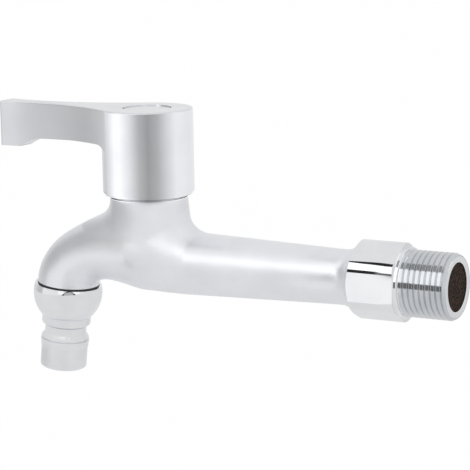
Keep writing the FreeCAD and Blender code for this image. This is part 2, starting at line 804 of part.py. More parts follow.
def nozzle():
    """The hose nozzle: collar, snap groove, bead and plain barrel with a through bore."""
    bore = nozzle_bore_diameter / 2
    collar_top = outlet_gap + ball_nut_length + part_line
    collar_end = collar_top + nozzle_collar_length
    groove_end = collar_end + nozzle_groove_length
    ring_end = groove_end + nozzle_ring_length
    barrel_end = ring_end + nozzle_barrel_length
    collar = nozzle_collar_diameter / 2
    ring = nozzle_ring_diameter / 2
    barrel = nozzle_barrel_diameter / 2
    groove = nozzle_groove_diameter / 2
    outside = turned([
        (bore, nut_shoulder() + thread_clearance),
        (nozzle_thread_diameter / 2, nut_shoulder() + thread_clearance),
        (nozzle_thread_diameter / 2, collar_top),
        (collar, collar_top),
        (collar, collar_end - nozzle_edge_chamfer),
        (collar - nozzle_edge_chamfer, collar_end),
        (groove, collar_end),
        (groove, groove_end),
        (ring - nozzle_ring_foot_step, groove_end + nozzle_ring_foot_length),
        (ring, groove_end + nozzle_ring_crest_start),
        (ring - nozzle_ring_crest_fall, groove_end + nozzle_ring_crest_end),
        (barrel + nozzle_ring_step, ring_end),
        (barrel, ring_end),
        (barrel, barrel_end - nozzle_edge_chamfer),
        (barrel - nozzle_edge_chamfer, barrel_end),
        (bore + nozzle_mouth_chamfer, barrel_end),
        (bore, barrel_end - nozzle_mouth_chamfer),
    ])
    return at_outlet(outside)


def all_parts():
    """Every piece by the name of its file."""
    return {
        "body_casting": body_casting(),
        "inlet_filter": inlet_filter(),
        "seat_seal": seat_seal(),
        "seat_seal_insert": seal_insert(),
        "fixed_ceramic_disc": fixed_disc(),
        "moving_ceramic_disc": moving_disc(),
        "headwork_housing": headwork_housing(),
        "headwork_gasket": headwork_gasket(),
        "thrust_washer": thrust_washer(),
        "spindle": spindle(),
        "spindle_o_ring_lower": spindle_ring(0),
        "spindle_o_ring_upper": spindle_ring(1),
        "spindle_circlip": circlip(),
        "lever_handle": lever_handle(),
        "spline_bush": spline_bush(),
        "screw_washer": screw_washer(),
        "handle_screw": handle_screw(),
        "index_cap": index_cap(),
        "outlet_o_ring": outlet_ring(),
        "ball_nut": ball_nut(),
        "outlet_gasket": outlet_gasket(),
        "hose_nozzle": nozzle(),
    }


def main():
    os.makedirs("parts", exist_ok=True)
    for name, shape in all_parts().items():
        shape.exportStep("parts/" + name + ".step")
        box = shape.BoundBox
        print(name, "solids", len(shape.Solids), "valid", shape.isValid(), "volume", round(shape.Volume, 1),
              "x", round(box.XMin, 2), round(box.XMax, 2), "y", round(box.YMin, 2), round(box.YMax, 2),
              "z", round(box.ZMin, 2), round(box.ZMax, 2))


main()
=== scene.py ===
"""Dresses the washing machine tap: skins, thread, finishes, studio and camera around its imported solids."""

import json
import logging
import math
import random
from dataclasses import dataclass
from enum import Enum
from typing import Iterable, Optional, Sequence

import bmesh
import bpy
from mathutils import Matrix, Vector


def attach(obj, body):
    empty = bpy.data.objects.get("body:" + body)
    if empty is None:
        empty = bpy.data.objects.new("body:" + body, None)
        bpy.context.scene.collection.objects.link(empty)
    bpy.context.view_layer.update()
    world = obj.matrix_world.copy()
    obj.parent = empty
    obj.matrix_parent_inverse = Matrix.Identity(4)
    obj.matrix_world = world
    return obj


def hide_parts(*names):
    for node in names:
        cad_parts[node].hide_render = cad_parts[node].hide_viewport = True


MM = 0.001
# Points nearer than this are welded, in metres: in new shapes, and in the solids' meshes.
FINE_WELD = 1e-7
WELD = 1e-6
# Half of a hexagon's corner-to-corner angle.
HALF_SIXTH = math.radians(30)
# The valve's upright axis and the end of the casting's skin, from the inlet's end, in millimetres.
VALVE_REACH = 94.5
FLARE_START = -24.4
WHITE = (1.0, 1.0, 1.0, 1.0)

log = logging.getLogger("tap")

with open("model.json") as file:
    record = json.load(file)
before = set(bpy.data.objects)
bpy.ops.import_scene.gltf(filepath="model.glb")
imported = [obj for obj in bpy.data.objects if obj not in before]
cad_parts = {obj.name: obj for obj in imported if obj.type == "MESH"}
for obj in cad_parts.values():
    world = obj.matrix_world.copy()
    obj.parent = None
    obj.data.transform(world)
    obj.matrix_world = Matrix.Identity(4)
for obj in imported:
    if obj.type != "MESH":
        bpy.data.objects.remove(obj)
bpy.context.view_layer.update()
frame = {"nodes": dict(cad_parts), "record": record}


class Body(Enum):
    """The two bodies of the tap."""

    TAP = "tap_body"
    HANDLE = "handle"


class Slot(Enum):
    """The record's finishes."""

    SATIN = "satin_chrome"
    BRIGHT = "bright_chrome"
    BRASS = "raw_brass"
    RUBBER = "black_rubber"
    CERAMIC = "white_ceramic"
    FIBRE = "fibre"
    PLASTIC = "white_plastic"
    STEEL = "steel"
    BRONZE = "porous_bronze"


def linear(hex_colour: str) -> tuple[float, float, float, float]:
    """Turns an sRGB hex colour into linear RGBA.

    Args:
        hex_colour: six hex digits.

    Returns:
        The linear colour with full alpha.
    """
    shares = [int(hex_colour[at:at + 2], 16) / 255 for at in (0, 2, 4)]
    red, green, blue = [part / 12.92 if part <= 0.04045 else ((part + 0.055) / 1.055) ** 2.4 for part in shares]
    return red, green, blue, 1.0


def add_node(tree: bpy.types.NodeTree, kind: str, settings: Optional[dict] = None,
             links: Optional[dict] = None) -> bpy.types.Node:
    """Adds one shader node.

    Args:
        tree: the node tree it goes in.
        kind: Blender's name for the node type, after its "ShaderNode".
        settings: values by attribute name, or by input name or number.
        links: output sockets by the input name or number that they feed.

    Returns:
        The new node.
    """
    node = tree.nodes.new("ShaderNode" + kind)
    for key, value in (settings or {}).items():
        if isinstance(key, str) and hasattr(node, key):
            setattr(node, key, value)
        else:
            node.inputs[key].default_value = value
    for key, socket in (links or {}).items():
        tree.links.new(socket, node.inputs[key])
    return node


def set_ramp(node: bpy.types.Node, stops: Sequence[tuple[float, tuple]]) -> None:
    """Sets a colour ramp's stops.

    Args:
        node: the ColorRamp node.
        stops: places from 0 to 1 with linear colours, in order.
    """
    ramp = node.color_ramp
    while len(ramp.elements) > 1:
        ramp.elements.remove(ramp.elements[-1])
    ramp.elements[0].position = stops[0][0]
    ramp.elements[0].color = stops[0][1]
    for place, colour in stops[1:]:
        ramp.elements.new(place).color = colour


def new_material(name: str) -> bpy.types.Material:
    """Makes a material with an empty node tree.

    Args:
        name: its name.

    Returns:
        The material.
    """
    material = bpy.data.materials.new(name)
    material.use_nodes = True
    material.node_tree.nodes.clear()
    return material


@dataclass(frozen=True)
class Finish:
    """A surface finish: what it is made of, its colours, gloss and grain.

    Cloud size, grain size and grain height are real sizes in millimetres. Object coordinates are metres, so a
    noise of size s mm has the scale 1000 / s.
    """

    name: str
    light: str
    dark: str
    roughness: float
    roughness_spread: float
    cloud_size: float
    grain_size: float
    grain_height: float
    metallic: float = 0.0
    ior: float = 1.5
    tone_spread: float = 0.15

    def material(self) -> bpy.types.Material:
        """Builds the material once and gives it back after that.

        Returns:
            The material.
        """
        known = bpy.data.materials.get(self.name)
        if known is not None:
            return known
        material = new_material(self.name)
        tree = material.node_tree
        place = add_node(tree, "TexCoord").outputs["Object"]
        clouds = add_node(tree, "TexNoise",
                          {"Scale": 1000 / self.cloud_size, "Detail": 4.0, "Roughness": 0.55},
                          {"Vector": place})
        grain = add_node(tree, "TexNoise",
                         {"Scale": 1000 / self.grain_size, "Detail": 2.0, "Roughness": 0.5}, {"Vector": place})
        tint = add_node(tree, "ValToRGB", {}, {"Fac": clouds.outputs["Fac"]})
        set_ramp(tint, ((0.5 - self.tone_spread, linear(self.dark)),
                        (0.5 + self.tone_spread, linear(self.light))))
        gloss = add_node(tree, "MapRange",
                         {"To Min": self.roughness - self.roughness_spread,
                          "To Max": self.roughness + self.roughness_spread},
                         {"Value": clouds.outputs["Fac"]})
        bump = add_node(tree, "Bump", {"Strength": 1.0, "Distance": self.grain_height * MM},
                        {"Height": grain.outputs["Fac"]})
        shader = add_node(tree, "BsdfPrincipled",
                          {"Metallic": self.metallic, "IOR": self.ior},
                          {"Base Color": tint.outputs["Color"], "Roughness": gloss.outputs["Result"],
                           "Normal": bump.outputs["Normal"]})
        add_node(tree, "OutputMaterial", {}, {"Surface": shader.outputs["BSDF"]})
        return material


# Each finish gives its name, light and dark colour, roughness and its spread, cloud size, grain size and grain
# height, and for metals a last 1.0.
# Nickel-chrome plate over a blasted brass casting: pearly, with soft blurred reflections.
SATIN_CHROME = Finish("satin_chrome_plate", "F2F3F6", "ECEDF1", 0.36, 0.03, 14.0, 0.35, 0.004, 1.0)
# The same plate over turned and buffed brass: a mirror, with faint waves left by the buffing wheel.
BRIGHT_CHROME = Finish("bright_chrome_plate", "F2F4F6", "ECEEF1", 0.07, 0.03, 9.0, 5.0, 0.012, 1.0)
# The same plate as it leaves the lathe, not buffed: soft streaks down the hose nozzle.
TURNED_CHROME = Finish("turned_chrome_plate", "F0F2F4", "EAECEF", 0.20, 0.02, 9.0, 1.0, 0.002, 1.0)
# The same plate on the thread's turns, with its colour painted greyer than on the open faces: painted shade for
# the dim turns.
THREAD_SHADED_CHROME = Finish("thread_chrome_painted_shade", "D8DADD", "CDD0D4", 0.10, 0.03, 9.0, 5.0, 0.012, 1.0)
# Chrome over a die-cast handle, buffed less than the ends: clear bands of light with blurred borders.
HANDLE_CHROME = Finish("handle_chrome_plate", "ECEEF1", "E6E8EC", 0.20, 0.02, 16.0, 0.5, 0.002, 1.0)
# Machined brass left bare inside: warm yellow with fine tool grain.
RAW_BRASS = Finish("raw_machined_brass", "D9B56A", "B8924A", 0.28, 0.08, 5.0, 0.4, 0.01, 1.0)
# Nitrile rubber: deep black and faintly shiny, with a dusty bloom.
BLACK_RUBBER = Finish("black_nitrile_rubber", "1C1D1F", "0E0F10", 0.45, 0.08, 3.0, 0.4, 0.01)
# Alumina ceramic, lapped: white, very smooth.
WHITE_CERAMIC = Finish("lapped_alumina", "F1EFE9", "E6E3DB", 0.18, 0.05, 4.0, 0.3, 0.002, ior=1.76)
# Pressed vulcanised fibre: dull red-brown with short fibres.
FIBRE = Finish("vulcanised_fibre", "8E4A36", "6C3224", 0.75, 0.08, 1.5, 0.3, 0.02)
# Moulded acetal: milky white, waxy.
WHITE_PLASTIC = Finish("moulded_acetal", "ECECE6", "E0E0DA", 0.42, 0.06, 5.0, 0.3, 0.004, ior=1.48)
# Zinc-plated steel screw and spring washer: grey with a faint mottle.
PLATED_STEEL = Finish("zinc_plated_steel", "B9BDC2", "989DA3", 0.32, 0.08, 1.2, 0.2, 0.006, 1.0)
# Sintered bronze beads, darkened: brown grains with dull sheen.
SINTERED_BRONZE = Finish("sintered_bronze", "3A2517", "080402", 0.85, 0.10, 0.8, 0.15, 0.02, ior=1.3,
                         tone_spread=0.07)

SLOT_FINISHES: dict[str, Finish] = {
    Slot.SATIN.value: SATIN_CHROME,
    Slot.BRIGHT.value: BRIGHT_CHROME,
    Slot.BRASS.value: RAW_BRASS,
    Slot.RUBBER.value: BLACK_RUBBER,
    Slot.CERAMIC.value: WHITE_CERAMIC,
    Slot.FIBRE.value: FIBRE,
    Slot.PLASTIC.value: WHITE_PLASTIC,
    Slot.STEEL.value: PLATED_STEEL,
    Slot.BRONZE.value: SINTERED_BRONZE,
}


@dataclass(frozen=True)
class Corner:
    """One corner of a turned profile, in millimetres, with the radius its edge is rounded to."""

    radius: float
    height: float
    rounding: float = 0.0


def turned(corners: Sequence[Corner], steps: int, place: Matrix) -> bmesh.types.BMesh:
    """Turns a closed profile about Z and rounds its edges.

    Args:
        corners: the profile, in order; corners of radius 0 lie on the axis.
        steps: facets round the axis.
        place: carries the finished piece to its place.

    Returns:
        The piece in metres.
    """
    mesh = bmesh.new()
    points = [mesh.verts.new((corner.radius * MM, 0, corner.height * MM)) for corner in corners]
    edges = [mesh.edges.new(pair) for pair in zip(points, points[1:] + points[:1])
             if pair[0].co.x + pair[1].co.x > 0]
    bmesh.ops.spin(mesh, geom=points + edges, cent=(0, 0, 0), axis=(0, 0, 1), angle=math.tau, steps=steps,
                   use_merge=True)
    bmesh.ops.remove_doubles(mesh, verts=mesh.verts, dist=FINE_WELD)
    bmesh.ops.recalc_face_normals(mesh, faces=mesh.faces)
    for corner in corners:
        if corner.rounding > 0:
            round_ring(mesh, corner)
    bmesh.ops.transform(mesh, matrix=place, verts=mesh.verts)
    return mesh


def bevel(mesh: bmesh.types.BMesh, edges: Sequence[bmesh.types.BMEdge], offset: float, segments: int) -> None:
    """Rounds edges.

    Args:
        mesh: the piece.
        edges: the edges to round.
        offset: how far the rounding reaches from them, in metres.
        segments: facets across the rounding.
    """
    bmesh.ops.bevel(mesh, geom=edges, offset=offset, offset_type="OFFSET", affect="EDGES", segments=segments,
                    profile=0.5, clamp_overlap=True, material=-1)


def cut_off(mesh: bmesh.types.BMesh, point: Sequence[float], outward: Sequence[float]) -> None:
    """Cuts a piece with a plane and drops what lies beyond it.

    Args:
        mesh: the piece.
        point: a point of the plane, in metres.
        outward: the plane's direction, toward what is dropped.
    """
    bmesh.ops.bisect_plane(mesh, geom=mesh.verts[:] + mesh.edges[:] + mesh.faces[:], dist=FINE_WELD,
                           plane_co=point, plane_no=outward, clear_outer=True)


def round_ring(mesh: bmesh.types.BMesh, corner: Corner) -> None:
    """Rounds the ring of edges that a profile's corner left.

    Args:
        mesh: the turned piece, still about Z.
        corner: the corner with its rounding.
    """
    def on_ring(vert: bmesh.types.BMVert) -> bool:
        """Whether a vertex lies on the corner's ring."""
        return (abs(vert.co.to_2d().length - corner.radius * MM) < WELD
                and abs(vert.co.z - corner.height * MM) < WELD)

    ring = [edge for edge in mesh.edges if all(on_ring(vert) for vert in edge.verts)]
    if not ring:
        return
    turn = ring[0].calc_face_angle(0.0)
    offset = corner.rounding * MM * math.tan(turn / 2)
    bevel(mesh, ring, offset, segments=6)


def add_object(mesh: bmesh.types.BMesh, name: str,
               materials: Iterable[Optional[bpy.types.Material]]) -> bpy.types.Object:
    """Puts a shape in the scene and frees it.

    Args:
        mesh: the shape, in metres, in its place.
        name: the object's name.
        materials: its materials, by index.

    Returns:
        The object.
    """
    data = bpy.data.meshes.new(name)
    mesh.to_mesh(data)
    mesh.free()
    for material in materials:
        data.materials.append(material)
    shown = bpy.data.objects.new(name, data)
    bpy.context.scene.collection.objects.link(shown)
    return shown


def piece(mesh: bmesh.types.BMesh, name: str, body: Body, finishes: Sequence[Finish],
          replaced: Sequence[str] = (), crease: float = 32.0) -> bpy.types.Object:
    """Makes a finished piece that rides on its body.

    Args:
        mesh: the shape, in metres, in its place.
        name: the piece's name.
        body: the body it moves with.
        finishes: its finishes, by material index.
        replaced: the solids that it stands for.
        crease: edges that turn by more degrees than this stay sharp.

    Returns:
        The piece.
    """
    for face in mesh.faces:
        face.smooth = True
    for edge in mesh.edges:
        edge.smooth = not edge.is_manifold or edge.calc_face_angle(0.0) < math.radians(crease)
    shown = add_object(mesh, name, [finish.material() for finish in finishes])
    normals = shown.modifiers.new("even_normals", "WEIGHTED_NORMAL")
    normals.keep_sharp = True
    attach(shown, body.value)
    if replaced:
        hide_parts(*replaced)
    log.info("made %s: %d faces", name, len(shown.data.polygons))
    return shown


def solid_copy(node: str) -> bmesh.types.BMesh:
    """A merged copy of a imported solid's mesh.

    Args:
        node: the node's name.

    Returns:
        The copy, closed and without faces that have no area.
    """
    mesh = bmesh.new()
    mesh.from_mesh(frame["nodes"][node].data)
    bmesh.ops.remove_doubles(mesh, verts=mesh.verts, dist=WELD)
    bmesh.ops.dissolve_degenerate(mesh, edges=mesh.edges, dist=FINE_WELD)
    return mesh


@dataclass
class Inlet:
    """The casting's wall end: flare, buffed hexagon, threaded spigot and the porous plug in its mouth.

    Sizes are in millimetres, along and about the inlet's axis, and turns in degrees.
    """

    facets: int = 192
    bore_radius: float = 5.8
    flare_start: float = FLARE_START
    flare_radius: float = 7.0
    flare_chords: int = 14
    tube_radius: float = 8.8
    flats: float = 23.0
    corners: float = 25.4
    edge_radius: float = 4.2
    knee: float = -16.9
    buff_lead: float = 0.4
    prism_lap: float = 1.0
    prism_end: float = 7.0
    face: float = -2.0
    face_chamfer: float = 0.4
    collar_radius: float = 11.2
    collar_end: float = -0.75
    thread_start: float = -0.5
    thread_radius: float = 10.4775
    thread_pitch: float = 1.814
    thread_depth: float = 0.60
    thread_crest: float = 1.08
    thread_flank: float = 27.5
    thread_turns: int = 11
    thread_lead_in: float = 1.2
    thread_run_out: float = 1.3
    thread_rounding: float = 0.2
    thread_ridge_turn: float = 40
    thread_end: float = 14.9
    steps_per_turn: int = 120
    spigot_gap: float = 0.02
    spigot_lap: float = 0.05
    end_chamfer: float = 0.8
    mouth_facets: int = 160
    mouth_radius: float = 7.62
    mouth_depth: float = 9.3
    plug_face: float = 14.3
    bead_radius: float = 0.36
    bead_spacing: float = 1.62
    bead_gap: float = 0.1
    bead_sink: float = 0.42
    bead_seed: int = 7
    bead_turn_share: float = 0.25
    bead_shift: float = 0.12
    bead_size_shares: tuple[float, float] = (0.75, 1.1)
    bead_heights: tuple[float, float] = (-0.12, 0.06)

    def axis(self) -> Matrix:
        """Lays the Z axis along the inlet, +Y into the wall."""
        return Matrix.Rotation(math.radians(-90), 4, "X")

    def build(self) -> None:
        """Makes every piece of the wall end."""
        self.hexagon()
        self.thread()
        self.mouth()
        self.plug()

    def flare_corners(self) -> list[Corner]:
        """The hollow of the flare in short chords.

        Returns:
            Profile corners from the tube to the knee.
        """
        rise = self.corners / 2 - self.tube_radius
        full = math.acos(1 - rise / self.flare_radius)
        foot = self.knee - self.flare_radius * math.sin(full)
        turns = [full * step / self.flare_chords for step in range(self.flare_chords + 1)]
        return [Corner(self.tube_radius + self.flare_radius * (1 - math.cos(turn)),
                       foot + self.flare_radius * math.sin(turn)) for turn in turns]

    def hexagon(self) -> None:
        """Cuts the turned flare and collar with a rounded hexagonal prism."""
        spigot_radius = self.thread_radius - self.spigot_gap
        spigot_start = self.thread_start + self.spigot_lap
        blank = turned([
            Corner(self.bore_radius, self.flare_start),
            Corner(self.tube_radius, self.flare_start),
            *self.flare_corners(),
            Corner(self.corners / 2, self.face - self.face_chamfer, 0.2),
            Corner(self.corners / 2 - self.face_chamfer, self.face, 0.2),
            Corner(self.collar_radius, self.face, 0.3),
            Corner(self.collar_radius, self.collar_end, 0.35),
            Corner(spigot_radius, self.collar_end, 0.1),
            Corner(spigot_radius, spigot_start),
            Corner(self.bore_radius, spigot_start),
        ], self.facets, self.axis())
        for face in blank.faces:
            buffed = face.calc_center_median().y > (self.knee - self.buff_lead) * MM
            face.material_index = 1 if buffed else 0
        prism = bmesh.new()
        made = bmesh.ops.create_circle(prism, cap_ends=True, segments=6, radius=self.flats / math.sqrt(3) * MM)
        bmesh.ops.rotate(prism, verts=made["verts"], cent=(0, 0, 0), matrix=Matrix.Rotation(HALF_SIXTH, 3, "Z"))
        bmesh.ops.translate(prism, verts=made["verts"], vec=(0, 0, (self.flare_start - self.prism_lap) * MM))
        raised = bmesh.ops.extrude_face_region(prism, geom=prism.faces[:])
        tops = [part for part in raised["geom"] if isinstance(part, bmesh.types.BMVert)]
        rise = self.prism_end + self.prism_lap - self.flare_start
        bmesh.ops.translate(prism, verts=tops, vec=(0, 0, rise * MM))
        bmesh.ops.recalc_face_normals(prism, faces=prism.faces)
        upright = [edge for edge in prism.edges if edge.verts[0].co.z != edge.verts[1].co.z]
        bevel(prism, upright, self.edge_radius * math.tan(HALF_SIXTH) * MM, segments=10)
        bmesh.ops.transform(prism, matrix=self.axis(), verts=prism.verts)
        bmesh.ops.transform(prism, matrix=Matrix.Rotation(HALF_SIXTH, 4, "Y"), verts=prism.verts)
        for face in prism.faces:
            face.material_index = 1
        cut = common(blank, prism)
        piece(cut, "inlet_hexagon", Body.TAP, (SATIN_CHROME, BRIGHT_CHROME), crease=24)

    def thread(self) -> None:
        """Winds one thread profile up the spigot, then ends it in a chamfer and a run-out."""
        root = self.thread_radius - self.thread_depth
        pitch = self.thread_pitch
        flank = self.thread_depth * math.tan(math.radians(self.thread_flank))
        valley = pitch - self.thread_crest - 2 * flank
        crest_start = valley / 2 + flank
        profile = ((root, 0.0), (root, valley / 2), (self.thread_radius, crest_start),
                   (self.thread_radius, crest_start + self.thread_crest), (root, pitch - valley / 2),
                   (root, pitch))
        turns = self.thread_turns
        start = self.thread_start - self.thread_lead_in * pitch
        mesh = bmesh.new()
        points = [mesh.verts.new((radius * MM, 0, (start + along) * MM)) for radius, along in profile]
        edges = [mesh.edges.new(pair) for pair in zip(points, points[1:])]
        steps = self.steps_per_turn * turns
        bmesh.ops.spin(mesh, geom=points + edges, cent=(0, 0, 0), axis=(0, 0, 1), angle=math.tau * turns,
                       dvec=(0, 0, turns * pitch / steps * MM), steps=steps, use_merge=False)
        bmesh.ops.remove_doubles(mesh, verts=mesh.verts, dist=2 * FINE_WELD)
        bmesh.ops.recalc_face_normals(mesh, faces=mesh.faces)
        ridges = [edge for edge in mesh.edges
                  if edge.is_manifold and edge.calc_face_angle(0.0) > math.radians(self.thread_ridge_turn)]
        bevel(mesh, ridges, self.thread_rounding * MM, segments=3)
        for height, way in ((self.thread_start, -1.0), (self.thread_end, 1.0)):
            cut_off(mesh, (0, 0, height * MM), (0, 0, way))
        chamfer_start = self.thread_end - self.end_chamfer
        for vert in mesh.verts:
            height = vert.co.z / MM
            radius = vert.co.to_2d().length / MM
            most = self.thread_radius - max(0.0, height - chamfer_start)
            depth_share = min(1.0, max(0.0, height - self.thread_start) / self.thread_run_out)
            least = self.thread_radius - self.thread_depth * depth_share
            wanted = max(min(radius, most), min(least, most))
            vert.co.xy *= wanted / radius
        outward = sum(face.normal.to_2d().dot(face.calc_center_median().to_2d()) for face in mesh.faces)
        if outward < 0:
            bmesh.ops.reverse_faces(mesh, faces=mesh.faces)
        bmesh.ops.transform(mesh, matrix=self.axis(), verts=mesh.verts)
        # The thread's grey plate colour is painted shade, not a different plate.
        piece(mesh, "inlet_thread_turns", Body.TAP, (THREAD_SHADED_CHROME,), crease=50)

    def mouth(self) -> None:
        """Turns the spigot's end face and the wall inside it, round the plug."""
        mouth = turned([
            Corner(self.mouth_radius, self.mouth_depth),
            Corner(self.mouth_radius, self.thread_end, 0.25),
            Corner(self.thread_radius - self.end_chamfer, self.thread_end, 0.15),
            Corner(self.thread_radius - self.end_chamfer - self.spigot_gap, self.mouth_depth),
        ], self.mouth_facets, self.axis())
        piece(mouth, "inlet_mouth", Body.TAP, (BRIGHT_CHROME,))

    def plug(self) -> None:
        """Covers the filter's face with sintered beads, packed in rings with a seeded scatter."""
        scatter = random.Random(self.bead_seed)
        mesh = bmesh.new()
        reach = self.mouth_radius - self.bead_gap - self.bead_radius
        pitch = self.bead_radius * self.bead_spacing
        for ring in range(int(reach / pitch) + 1):
            ring_radius = ring * pitch
            count = max(1, int(math.tau * ring_radius / pitch))
            for step in range(count):
                swing = scatter.uniform(-self.bead_turn_share, self.bead_turn_share)
                turn = math.tau * step / count + swing * pitch / max(ring_radius, pitch)
                radius = min(reach, ring_radius + scatter.uniform(-self.bead_shift, self.bead_shift))
                size = self.bead_radius * scatter.uniform(*self.bead_size_shares)
                made = bmesh.ops.create_icosphere(mesh, subdivisions=1, radius=size * MM)
                centre = (radius * math.cos(turn) * MM, radius * math.sin(turn) * MM,
                          (self.plug_face - self.bead_sink + scatter.uniform(*self.bead_heights)) * MM)
                bmesh.ops.rotate(mesh, verts=made["verts"], cent=(0, 0, 0),
                                 matrix=Matrix.Rotation(scatter.uniform(0, math.pi), 3, "Y"))
                bmesh.ops.translate(mesh, verts=made["verts"], vec=centre)
        bmesh.ops.transform(mesh, matrix=self.axis(), verts=mesh.verts)
        piece(mesh, "inlet_filter_beads", Body.TAP, (SINTERED_BRONZE,), crease=80)


def common(first: bmesh.types.BMesh, second: bmesh.types.BMesh) -> bmesh.types.BMesh:
    """The room that two closed shapes share, each face keeping its material index.

    Args:
        first: a closed shape.
        second: another closed shape.

    Returns:
        The shared shape.
    """
    # Two empty slots, so that the faces' material indices outlast the cut.
    helpers = [add_object(mesh, "helper", (None, None)) for mesh in (first, second)]
    meet = helpers[0].modifiers.new("meet", "BOOLEAN")
    meet.operation = "INTERSECT"
    meet.solver = "EXACT"
    meet.object = helpers[1]
    bpy.context.view_layer.update()
    graph = bpy.context.evaluated_depsgraph_get()
    result = bmesh.new()
    result.from_mesh(helpers[0].evaluated_get(graph).to_mesh())
    for helper in helpers:
        data = helper.data
        bpy.data.objects.remove(helper)
        bpy.data.meshes.remove(data)
    bmesh.ops.remove_doubles(result, verts=result.verts, dist=WELD)
    return result


def dress_casting() -> None:
    """Takes the casting's satin skin up to the flare, where the wall end's own pieces carry on."""
    skin = solid_copy("body_casting")
    cut_off(skin, (0, FLARE_START * MM, 0), (0, 1, 0))
    bmesh.ops.bridge_loops(skin, edges=[edge for edge in skin.edges if edge.is_boundary])
    piece(skin, "casting_skin", Body.TAP, (SATIN_CHROME,), ("body_casting",), crease=35)


@dataclass
class Handle:
    """The cast handle and the plain cap in its top. Sizes are in millimetres and turns in degrees."""

    facets: int = 128
    flat_turn: float = 0.5
    top: float = 50.5
    rim_band: float = 0.45
    rim_rounding: float = 0.16
    rim_turns: tuple[float, float] = (30, 60)
    cap_radius: float = 7.8
    cap_seat: float = 48.92
    cap_top: float = 50.2

    def build(self) -> None:
        """Makes the handle's skin and its cap."""
        skin = solid_copy("lever_handle")
        bmesh.ops.dissolve_limit(skin, angle_limit=math.radians(self.flat_turn), verts=skin.verts,
                                 edges=skin.edges)
        low = (self.top - self.rim_band) * MM
        least, most = (math.radians(turn) for turn in self.rim_turns)
        rim = [edge for edge in skin.edges
               if min(vert.co.z for vert in edge.verts) > low and least < edge.calc_face_angle(0.0) < most]
        bevel(skin, rim, self.rim_rounding * MM, segments=3)
        piece(skin, "handle_skin", Body.HANDLE, (HANDLE_CHROME,), ("lever_handle",), crease=35)
        cap = turned([
            Corner(0, self.cap_seat),
            Corner(self.cap_radius, self.cap_seat),
            Corner(self.cap_radius, self.cap_top, 0.12),
            Corner(0, self.cap_top),
        ], self.facets, Matrix.Translation((0, -VALVE_REACH * MM, 0)))
        piece(cap, "handle_cap", Body.HANDLE, (HANDLE_CHROME,), ("index_cap",))


